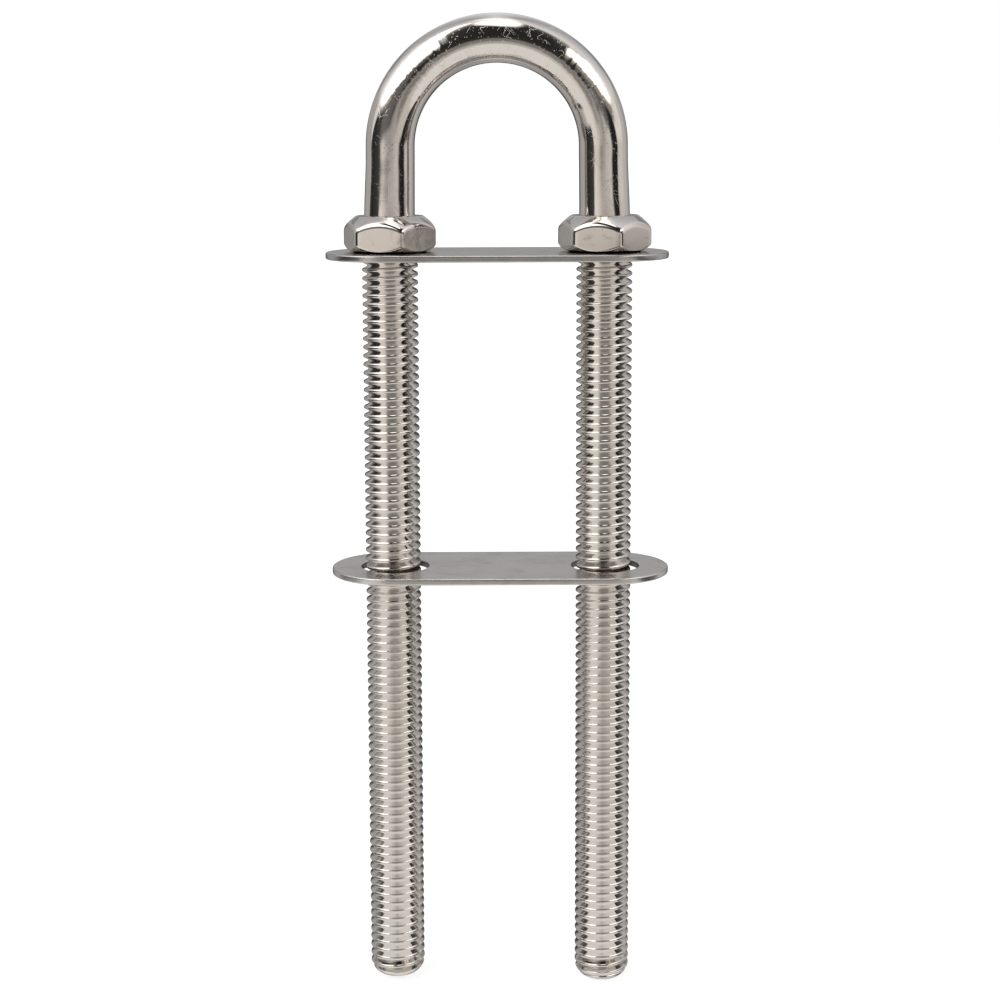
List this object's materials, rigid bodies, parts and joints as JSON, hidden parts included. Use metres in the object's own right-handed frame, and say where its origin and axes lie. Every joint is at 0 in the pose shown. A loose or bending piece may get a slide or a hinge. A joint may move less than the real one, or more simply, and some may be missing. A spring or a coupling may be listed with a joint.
{
  "type": "bow eye",
  "caption": "Stainless bow eye: a polished U-shaped eye with long threaded legs, nuts, a hull plate and a loose backing plate.",
  "frame": {"origin": "middle of the hull plate's underside, the face that lies on the hull, halfway between the two legs", "axes": "+Z out of the hull along the legs towards the eye, X across the two legs, Y through the eye"},
  "size_m": [0.0778, 0.0286, 0.2245],
  "materials": {
    "polished_steel": "polished stainless steel, fine scratches on the bow, bright rolled thread",
    "polished_nut": "polished stainless steel with faint stains",
    "satin_plate": "satin stainless sheet, ground along its length, bright rolled edges"
  },
  "bodies": {
    "eye": {"u_bolt": "polished_steel", "hull_plate": "satin_plate", "nut_left": "polished_nut", "nut_right": "polished_nut"},
    "backing": {"backing_plate": "satin_plate"}
  },
  "joints": [
    {"name": "backing_slide", "type": "slide", "parent": "eye", "child": "backing", "axis": [0, 0, 1], "range_m": [-0.0968, 0.0706]}
  ]
}
